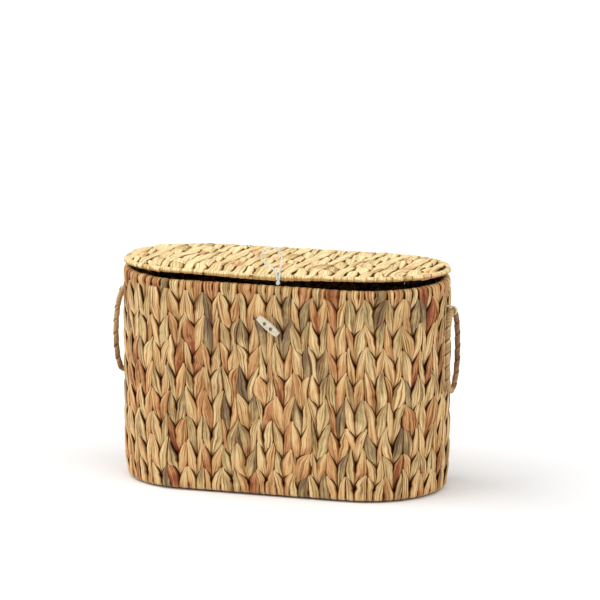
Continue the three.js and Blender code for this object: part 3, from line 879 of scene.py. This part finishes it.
def bone_material():
    """Bone or horn: cream with long faint streaks, and painted shade round the two holes."""
    material, make = new_material("toggle_bone")
    place = make("TexCoord").outputs["Object"]
    turned = make("Mapping", {
        "Vector": place, "Rotation": (0, -TOGGLE_TILT, 0), "Scale": (120, 900, 900),
    }).outputs[0]
    streak = noise(make, turned, (1, 1, 1), 3.0)
    colour = ramp(make, streak, [
        (0.3, 0.50, 0.43, 0.31), (0.5, 0.63, 0.56, 0.43), (0.7, 0.69, 0.62, 0.49),
    ])
    flat = make("VectorMath", {0: place, 1: (1, 0, 1)}, operation="MULTIPLY").outputs[0]
    # Painted shade round each hole: darkest at its rim, fading out over TOGGLE_HOLE_SHADE.
    for way in (-1, 1):
        hole = tuple(toggle_hole(way) * (MM, 0, MM))
        away = make("VectorMath", {0: flat, 1: hole}, operation="DISTANCE").outputs["Value"]
        share = make("MapRange", {
            "Value": away, "To Min": 0.85, "To Max": 0.0,
            "From Min": TOGGLE_HOLE / 2 * MM, "From Max": (TOGGLE_HOLE / 2 + TOGGLE_HOLE_SHADE) * MM,
        }).outputs[0]
        colour = mixed(make, share, colour, (0.16, 0.11, 0.06, 1))
    finish_surface(make, colour, (streak, 0.5, 0.35), (streak, 0.15, 0.0003), 0.5)
    return material


def wire_material():
    """Drawn iron wire, dark and dull, with brown specks of rust."""
    material, make = new_material("frame_wire")
    place = make("TexCoord").outputs["Object"]
    cloud = noise(make, place, (160, 160, 160), 4.0)
    speck = noise(make, place, (900, 900, 900), 3.0)
    colour = ramp(make, cloud, [(0.35, 0.06, 0.052, 0.045), (0.65, 0.15, 0.135, 0.12)])
    rust = ramp(make, speck, [(0.6, 0, 0, 0), (0.72, 1, 1, 1)])
    colour = mixed(make, rust, colour, (0.17, 0.075, 0.035, 1))
    finish_surface(make, colour, (speck, 0.35, 0.65), (speck, 0.2, 0.0002), 0.4, 0.3)
    return material


wall_straw = straw_material("wall_straw", [
    (0.0, 0.23, 0.16, 0.1), (0.12, 0.37, 0.28, 0.145), (0.26, 0.56, 0.43, 0.21),
    (0.41, 0.77, 0.6, 0.33), (0.54, 0.75, 0.52, 0.26), (0.67, 0.66, 0.4, 0.185),
    (0.79, 0.57, 0.31, 0.145), (0.92, 0.44, 0.19, 0.085), (1.0, 0.29, 0.095, 0.042),
])
# The lid's straw is paler than the wall's: painted light, standing in for the strong light from above on the
# lid.
lid_straw_painted_light = straw_material("lid_straw_painted_light", [
    (0.0, 0.53, 0.37, 0.165), (0.15, 0.79, 0.61, 0.30), (0.4, 0.90, 0.77, 0.44),
    (0.7, 0.90, 0.74, 0.41), (0.9, 0.82, 0.57, 0.28), (1.0, 0.65, 0.34, 0.15),
], 0.55)
handle_straw = straw_material("handle_straw", [
    (0.0, 0.16, 0.085, 0.045), (0.25, 0.30, 0.165, 0.09), (0.5, 0.48, 0.32, 0.17),
    (0.75, 0.66, 0.50, 0.27), (1.0, 0.72, 0.57, 0.34),
])
pale_cord = cord_material("pale_cord", [
    (0.0, 0.50, 0.38, 0.22), (0.5, 0.70, 0.58, 0.38), (1.0, 0.80, 0.70, 0.52),
], 1.4)
elastic = cord_material("elastic_cord", [
    (0.0, 0.44, 0.42, 0.37), (0.5, 0.68, 0.66, 0.60), (1.0, 0.80, 0.78, 0.73),
], 0.9)


# Wall, lid and base

def at_rim(t, rows):
    """1 at the rim, easing to 0 over the given rows below it."""
    return 1 - smooth(t / rows)


def rim_shift(points):
    """How far the rim lies above its wire at each point."""
    x, y = points[:, 0], points[:, 1]
    shift = RIM_RISE * smooth((-x - HALF_STRAIGHT) / RING_RADIUS)
    shift -= RIM_DIP * hump(x, *RIM_DIP_PLACE) * smooth(-y / RING_RADIUS)
    return shift + RIM_BACK_RISE * smooth(y / RING_RADIUS)


def make_way(away, t, reach):
    """How far a column near a hinge steps aside at the rim, and what is left of its width."""
    if abs(away) >= reach:
        return 0, 1
    room = 1 - HINGE_GAP / reach
    pushed = copysign(HINGE_GAP + abs(away) * room, away)
    near_rim = at_rim(t, HINGE_ROWS)
    return near_rim * (pushed - away), 1 - near_rim * (1 - room)


def add_wall_column(strands, weave, column):
    """One strand of the wall, folded over the rim wire and the base wire."""
    middle = (column + 0.5) * weave.width
    path = twined_loop(weave, column, 0, HOOPS + 1)
    t = path["t"]
    near = max(1 - (abs(middle - place) / UPRIGHT_REACH) ** 2 for place in upright_places)
    bulge = 1 + UPRIGHT_BULGE * max(near, 0)
    out = np.where(path["out"] < 0, path["out"] * bulge, path["out"])
    back = smooth(ring(middle, RING_RADIUS)[0][1] / RING_RADIUS)
    width = path["width"] * (1 + RIM_SPREAD * back * at_rim(t, RIM_SPREAD_ROWS))
    q = middle + path["aside"]
    for place in hinge_places:
        step, share = make_way(middle - place, t, HINGE_COLUMNS * weave.width)
        q += step
        width *= share
    centre, normal = ring(q, RING_RADIUS + out - FOOT_TUCK * smooth(t - HOOPS))
    centre[:, 2] = RIM_Z - weave.pitch * t + rim_shift(centre) * at_rim(t, RIM_RISE_ROWS)
    centre[:, 2] += FOOT_RISE * smooth((t - HOOPS) / FOOT_RISE_ROWS)
    facing = normal * path["face_out"][:, None]
    facing[:, 2] -= path["face_along"]
    tint = path["tint"] + RIM_BROWN * at_rim(t, RIM_BROWN_ROWS)
    # Painted shade under the foot, darkest at its lowest part.
    foot_shade = FOOT_DARK * smooth((BASE_Z - centre[:, 2]) / FOOT_SHADE)
    strands.add_ribbon(
        centre, facing, width, path["thick"], (tint, path["stain"], path["lean"]),
        shade=np.maximum(path["shade"], foot_shade), place=above_floor,
    )


def wall_weave():
    """The twined columns of the wall, in pieces round the basket. Columns lean together in pairs."""
    rng = seeded("wall")
    edges = rng.normal(0, EDGE_WANDER, (WALL_COLUMNS + 1, HOOPS + 2))
    edges[-1] = edges[0]
    shifts = rng.normal(0, ROW_JITTER, (WALL_COLUMNS // 2, HOOPS + 2))
    pitch = (RIM_Z - BASE_Z) / (HOOPS + 1)
    weave = Weave(rng, pitch, RING_LENGTH / WALL_COLUMNS, edges, shifts, WALL_LIFT, WALL_STYLE)
    columns = WALL_COLUMNS // WALL_PIECES
    for piece in range(WALL_PIECES):
        strands = Strands(rng)
        for column in range(piece * columns, (piece + 1) * columns):
            add_wall_column(strands, weave, column)
        strands.build(f"wall_weave_{piece + 1}", wall_straw, "basket", "woven_wall")


def to_outline(points, reach, end_radius):
    """Points of a mat's column, which reaches so far each way, squeezed to the round ends."""
    furthest = HALF_STRAIGHT + end_radius
    past = np.clip(np.abs(points[..., 0]) - HALF_STRAIGHT, 0, end_radius)
    squeezed = points.copy()
    squeezed[..., 0] = np.clip(squeezed[..., 0], -furthest, furthest)
    squeezed[..., 1] *= np.maximum(np.sqrt(end_radius ** 2 - past ** 2), END_REACH) / reach
    return squeezed


def flat_weave(mat, material, place, body, node):
    """A flat mat of columns along Y, twined round ribs along X, inside a stadium outline."""
    rng = seeded(mat.name)
    strands = Strands(rng)
    pitch = 2 * mat.ring_radius / mat.rows
    width = 2 * (HALF_STRAIGHT + mat.end_radius) / mat.columns
    edges = rng.normal(0, MAT_EDGE_WANDER, (mat.columns + 1, mat.rows + 1))
    shifts = rng.normal(0, MAT_ROW_JITTER, (mat.columns // 2 + 1, mat.rows + 1))
    weave = Weave(rng, pitch, width, edges, shifts, mat.lift, MAT_STYLE)
    middle = mat.ring_radius / pitch
    for column in range(mat.columns):
        x = -HALF_STRAIGHT - mat.end_radius + (column + 0.5) * width
        beyond = max(abs(x) - HALF_STRAIGHT, 0)
        reach = sqrt(mat.end_radius ** 2 - beyond ** 2)
        rows = reach / pitch
        path = twined_loop(weave, column, middle - rows, middle + rows)
        from_end = rows - np.abs(path["t"] - middle)
        full = MAT_THIN + (1 - MAT_THIN) * smooth(from_end / MAT_THIN_ROWS)
        centre = np.stack([
            x + path["aside"], mat.ring_radius - pitch * path["t"], mat.middle_z + full * path["out"],
        ], -1)
        facing = np.stack([0 * path["t"], -path["face_along"], path["face_out"]], -1)
        strands.add_ribbon(
            centre, facing, path["width"], full * path["thick"], (path["tint"], path["stain"], path["lean"]),
            MAT_LINE, path["shade"], lambda points: place(to_outline(points, reach, mat.end_radius)),
        )
    strands.build(mat.name, material, body, node)


def add_edge_wrap(strands, low, high, level):
    """One strand round the lid's edge wire, from low to high along the ring. level is 0 beside a gap, where
    it stands square to the wire, and 1 elsewhere."""
    rng = strands.rng
    slant = rng.normal(WRAP_SLANT, WRAP_SLANT) * level
    puff = rng.uniform(0, WRAP_PUFF)
    bend = whole_turn(WRAP_STEPS)
    rise = rounded(np.sin(bend), WRAP_ROUNDNESS)
    radius = WRAP_CENTRE + (WRAP_HALF_DEPTH + puff) * rounded(np.cos(bend), WRAP_ROUNDNESS)
    centre, normal = ring((low + high) / 2 + slant * np.sin(bend), radius)
    sag = LID_SAG * hump(centre[:, 0], *LID_SAG_PLACE) * (centre[:, 1] < 0)
    sag *= LID_SAG_TOP + (1 - LID_SAG_TOP) * np.maximum(-rise, 0)
    half_height = WRAP_HALF_HEIGHT + WRAP_BACK * smooth(centre[:, 1] / RING_RADIUS)
    centre[:, 2] = LID_MIDDLE_Z + (half_height + puff) * rise - sag
    facing = normal * np.cos(bend)[:, None]
    facing[:, 2] = np.sin(bend)
    half_width = (high - low) / 2 + rng.uniform(*WRAP_OVERLAP)
    colours = leaf_colours(np.zeros(len(bend)), rng, SPARE_LEAVES, MAT_STYLE.stained)
    # The strand's lower half is darkened with painted shade.
    strands.add_ribbon(
        settle_lid(centre), facing, half_width, WRAP_HALF_THICK, colours,
        WRAP_LINE, WRAP_SHADE * smooth(WRAP_SHADE_BELOW - rise),
    )


def lid_edge():
    """Strands side by side round the lid's edge wire, with gaps for the hinges and the loop."""
    strands = Strands(seeded("lid_edge"))
    gaps = sorted(
        [(place, HINGE_GAP) for place in hinge_places] + [(ring_place(LOOP_X, -RING_RADIUS), LOOP_GAP)]
    )
    after_gaps = gaps[1:] + [(gaps[0][0] + RING_LENGTH, gaps[0][1])]
    for (place, gap), (after, after_gap) in zip(gaps, after_gaps):
        start = place + gap
        stop = after - after_gap
        widths = strands.rng.uniform(*WRAP_WIDTHS, int(round((stop - start) / WRAP_PITCH)))
        bounds = start + (stop - start) * np.concatenate([[0], np.cumsum(widths)]) / np.sum(widths)
        for low, high in zip(bounds[:-1], bounds[1:]):
            middle = (low + high) / 2
            level = smooth(min(middle - start, stop - middle) / WRAP_PITCH - 1)
            add_edge_wrap(strands, low, high, level)
    strands.build("lid_edge", lid_straw_painted_light, "lid", "woven_lid")


# Handles, ties and hinges

def rope_radius(turned):
    """Radius of a rope wound with leaf, with a ledge where each turn laps the last."""
    return HANDLE_RADIUS - HANDLE_LEDGE * turned / TURN


def handle(side, end):
    """A rope ring: a core wound with a broad strip of leaf."""
    low, high = node_box(f"handle_ring_{side}")
    middle = (low + high) / 2
    half_width = (high - low)[1] / 2 - HANDLE_RADIUS
    half_height = (high - low)[2] / 2 - HANDLE_RADIUS
    angle = whole_turn(720, -TURN / 4)
    across = rounded(np.cos(angle), HANDLE_ROUNDNESS)
    rise = rounded(np.sin(angle), HANDLE_ROUNDNESS)
    top, waist, bottom = HANDLE_BOWS[side]
    bow = waist + np.where(rise > 0, top - waist, bottom - waist) * rise ** 2
    route = middle + np.stack([end * bow, half_width * across, half_height * rise], -1)
    centre = even_path(route, ROPE_STEP, True)
    rise = (centre[:, 2] - middle[2]) / half_height
    tight = ease_in(rise, *HANDLE_TIGHT_PLACE)
    turns = np.cumsum(ROPE_STEP * (1 / HANDLE_PITCH + tight * (1 / HANDLE_TIGHT_PITCH - 1 / HANDLE_PITCH)))
    twist = TURN * turns * round(turns[-1]) / turns[-1]
    if side == "right":
        tint = RIGHT_TINT + RIGHT_FAR_TINT * smooth(0.5 + (centre[:, 1] - middle[1]) / half_width)
    else:
        tint = LEFT_TINT + LEFT_TOP_TINT * smooth(0.5 + rise / LEFT_TOP_OVER) + LEFT_TIGHT_TINT * tight
    strands = Strands(seeded("handle", end))
    tint = tint + wander(np.arange(len(centre)) * ROPE_STEP, strands.rng, *HANDLE_TINTS)
    strands.add_tube(centre, rope_radius, twist, tint, True, ROPE_SIDES)
    strands.build(f"handle_rope_{side}", handle_straw, f"handle_{side}", f"handle_ring_{side}")


def handle_tie(side, end):
    """Two turns of pale twisted cord round the top hoop and the handle."""
    middle = middle_of(f"handle_tie_{side}")
    radius = HANDLE_RADIUS + TIE_CORD.diameter / 2 + TIE_PLAY
    wire_end = HALF_STRAIGHT + RING_RADIUS - WIRE_RADIUS - TIE_CORD.diameter / 2 + radius
    handle_end = abs(middle_of(f"handle_ring_{side}")[0]) + HANDLE_BOWS[side][0]
    middle[0] = end * (wire_end + handle_end) / 2
    half_straight = (handle_end - wire_end) / 2
    angle = whole_turn(120)
    strands = Strands(seeded("tie", end))
    for offset in (-TIE_SPREAD / 2, TIE_SPREAD / 2):
        route = middle + np.stack([
            np.sign(np.cos(angle)) * half_straight + radius * np.cos(angle),
            offset + TIE_WAVE * np.sin(2 * angle + offset),
            radius * np.sin(angle),
        ], -1)
        centre = even_path(route, CORD_STEP, True)
        tint = CORD_TINT + wander(np.arange(len(centre)) * CORD_STEP, strands.rng, *TIE_TINTS)
        strands.add_cord(centre, TIE_CORD, tint, round(len(centre) * CORD_STEP / TIE_CORD.pitch))
    strands.build(f"handle_cord_{side}", pale_cord, "basket", f"handle_tie_{side}")


def hinge(side, end):
    """Strands side by side round the rim wire and the lid's edge wire."""
    low, high = node_box(f"hinge_band_{side}")
    strand_width = (high - low)[0] / HINGE_STRANDS
    rim = np.array([RING_RADIUS, RIM_Z])
    edge = tilt_lid(np.array([0, LID_WIRE_RADIUS, LID_MIDDLE_Z]))[1:]
    apart = np.linalg.norm(edge - rim)
    along = (edge - rim) / apart
    beside = np.array([along[1], -along[0]])
    angle = whole_turn(96)
    round_wires = np.cos(angle)[:, None] * along + np.sin(angle)[:, None] * beside
    strands = Strands(seeded("hinge", end))
    for strand in range(HINGE_STRANDS):
        radius = HINGE_WRAP_RADIUS + strands.rng.uniform(-HINGE_RADIUS_VARIES, HINGE_RADIUS_VARIES)
        section = np.where((np.cos(angle) > 0)[:, None], edge, rim) + radius * round_wires
        x = low[0] + (strand + 0.5) * strand_width + HINGE_WAVE * np.sin(angle + strand)
        centre = even_path(np.column_stack([x, section]), HINGE_STEP, True)
        share = np.clip((centre[:, 1:] - rim) @ along, 0, apart)
        facing = np.zeros_like(centre)
        facing[:, 1:] = centre[:, 1:] - rim - share[:, None] * along
        colours = leaf_colours(np.zeros(len(centre)), strands.rng, SPARE_LEAVES, MAT_STYLE.stained)
        strands.add_ribbon(centre, facing, strand_width / 2 + HINGE_OVERLAP, HINGE_HALF_THICK, colours)
    strands.build(f"hinge_wrap_{side}", wall_straw, "lid", f"hinge_band_{side}")


# Closure loop and toggle

def trefoil(scale):
    """A closed knot about the origin, lying in the XZ plane."""
    angle = whole_turn(180)
    reach = 2 + np.cos(3 * angle)
    return scale * np.stack([reach * np.cos(2 * angle), np.sin(3 * angle), reach * np.sin(2 * angle)], -1)


def closure_loop():
    """The elastic loop, free from its knot and back to it."""
    route = np.array([
        [aside, up * cos(LOOP_UPRIGHT), up * sin(LOOP_UPRIGHT)] for aside, up in LOOP_ROUTE
    ])
    centre = smooth_path(tilt_lid(LOOP_KNOT + route), CORD_STEP)
    strands = Strands(seeded("loop"))
    tint = CORD_TINT + wander(path_length(centre), strands.rng, *LOOP_TINTS)
    strands.add_cord(centre, LOOP_CORD, tint)
    loop = strands.build("elastic_loop", elastic, "closure_loop", "closure_loop")


def loop_knot():
    """The knot below the lid's edge, and the cord that ties it to the edge wire."""
    strands = Strands(seeded("knot"))
    wire = np.array([LOOP_X, -LID_WIRE_RADIUS, LID_MIDDLE_Z])
    centre = even_path(tilt_lid(LOOP_KNOT + trefoil(KNOT_SCALE)), KNOT_STEP, True)
    strands.add_cord(centre, KNOT_CORD, KNOT_TINT, KNOT_TWISTS)
    down = unit(LOOP_KNOT - wire)
    beside = np.array([0, down[2], -down[1]])
    round_wire = np.linspace(-KNOT_EYE_SWEEP, KNOT_EYE_SWEEP, 40)[:, None]
    eye = wire - KNOT_EYE_RADIUS * (np.cos(round_wire) * down + np.sin(round_wire) * beside)
    centre = smooth_path(tilt_lid(np.concatenate([[LOOP_KNOT], eye, [LOOP_KNOT]])), CORD_STEP)
    strands.add_cord(centre, KNOT_CORD, CORD_TINT)
    strands.build("loop_knot_cord", elastic, "lid", "loop_knot")


def toggle_thread():
    """The thread that holds the toggle: from its two holes through the wall to a knot."""
    high = node_box("toggle_tie")[1]
    button_low, button_high = node_box("toggle_button")
    middle = (button_low + button_high) / 2
    behind = button_high[1] + THREAD_CORD.diameter / 2
    knot_y = high[1] - THREAD_KNOT_DEPTH
    strands = Strands(seeded("thread"))
    for way in (-1, 1):
        hole = toggle_hole(way)
        inner = middle + way * THREAD_APART * TOGGLE_ASIDE
        places = [
            (hole, button_low[1] + THREAD_SUNK), (hole, middle[1]), (hole, button_high[1] - THREAD_TURN_IN),
            ((hole + middle) / 2, behind), (inner, behind + THREAD_BEHIND), (inner, knot_y),
        ]
        centre = smooth_path([[x, y, z] for (x, _, z), y in places], CORD_STEP)
        strands.add_cord(centre, THREAD_CORD, THREAD_TINT)
    knot = np.array([middle[0], knot_y, middle[2]])
    centre = even_path(knot + trefoil(THREAD_KNOT_SCALE), KNOT_STEP, True)
    strands.add_cord(centre, THREAD_CORD, THREAD_TINT, THREAD_KNOT_TWISTS)
    strands.build("toggle_thread", pale_cord, "toggle", "toggle_tie")


upright_places = [ring_place(*middle_of(name)[:2]) for name in UPRIGHTS]
hinge_places = [ring_place(x, RING_RADIUS) for x in (-HINGE_X, HINGE_X)]

closure_loop()
loop_knot()
toggle_thread()
for end, side in ((-1, "left"), (1, "right")):
    handle(side, end)
    handle_tie(side, end)
    hinge(side, end)
wall_weave()
flat_weave(LID_MAT, lid_straw_painted_light, settle_lid, "lid", "woven_lid")
lid_edge()
flat_weave(BASE_MAT, wall_straw, above_floor, "basket", "woven_base")

bone = bone_material()
steel = wire_material()
for name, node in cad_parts.items():
    if name == "toggle_button" or "wire" in name or "rib" in name:
        node.data.materials.clear()
        node.data.materials.append(bone if name == "toggle_button" else steel)


# Floor, light and camera

def aim(piece, direction):
    """Turns a lamp or camera to look along a direction."""
    piece.rotation_mode = "QUATERNION"
    piece.rotation_quaternion = Vector(direction).to_track_quat("-Z", "Y")


def floor_plane():
    """A pale matt floor under the part."""
    material, make = new_material("floor")
    surface = make("BsdfDiffuse", {"Color": (0.9, 0.9, 0.9, 1)})
    make("OutputMaterial", {"Surface": surface.outputs[0]})
    half = FLOOR_HALF_M
    corners = [(-half, -half, 0), (half, -half, 0), (half, half, 0), (-half, half, 0)]
    mesh = bpy.data.meshes.new("floor")
    mesh.from_pydata(corners, [], [(0, 1, 2, 3)])
    mesh.materials.append(material)
    return placed("floor", mesh)


def sun(name, direction, strength, softness):
    """A distant lamp that shines along a direction, its softness in degrees."""
    data = bpy.data.lights.new(name, "SUN")
    data.energy = strength
    data.angle = radians(softness)
    aim(placed(name, data), direction)


def white_studio():
    """A world that is white where it is seen, and lights the part more softly."""
    world = bpy.data.worlds.new("studio")
    bpy.context.scene.world = world
    world.use_nodes = True
    make = node_maker(world.node_tree)
    rays = make("LightPath").outputs
    seen = maths(make, "MAXIMUM", rays["Is Camera Ray"], rays["Is Glossy Ray"])
    seen = maths(make, "MAXIMUM", seen, rays["Is Transmission Ray"])
    ambient = make("Background", {"Color": WHITE, "Strength": AMBIENT})
    white = make("Background", {"Color": WHITE, "Strength": 1.0})
    blend = make("MixShader", {0: seen, 1: ambient.outputs[0], 2: white.outputs[0]})
    make("OutputWorld", {"Surface": blend.outputs[0]})


def photo_camera():
    """The camera that the photograph was fitted with."""
    data = bpy.data.cameras.new("camera")
    data.sensor_width = SENSOR
    data.lens = CAMERA_FOCAL_PIXELS / FRAME_PIXELS * SENSOR
    data.shift_x = (FRAME_PIXELS / 2 - CAMERA_CENTRE_PIXELS[0]) / FRAME_PIXELS
    data.shift_y = (CAMERA_CENTRE_PIXELS[1] - FRAME_PIXELS / 2) / FRAME_PIXELS
    camera = placed("camera", data)
    back = Vector((
        sin(CAMERA_AZIMUTH) * cos(CAMERA_ELEVATION),
        -cos(CAMERA_AZIMUTH) * cos(CAMERA_ELEVATION),
        sin(CAMERA_ELEVATION),
    ))
    camera.location = (Vector(CAMERA_TARGET) + back * CAMERA_DISTANCE) * MM
    aim(camera, -back)
    bpy.context.scene.camera = camera


floor_plane()
sun("top_light", (0, 0.3, -1), 0.84, 50)
sun("left_light", (1, 0.27, -0.65), 2.2, 75)
sun("right_light", (-1, 0.25, -0.5), 1.45, 80)
white_studio()
photo_camera()
bpy.context.scene.view_settings.view_transform = "Standard"
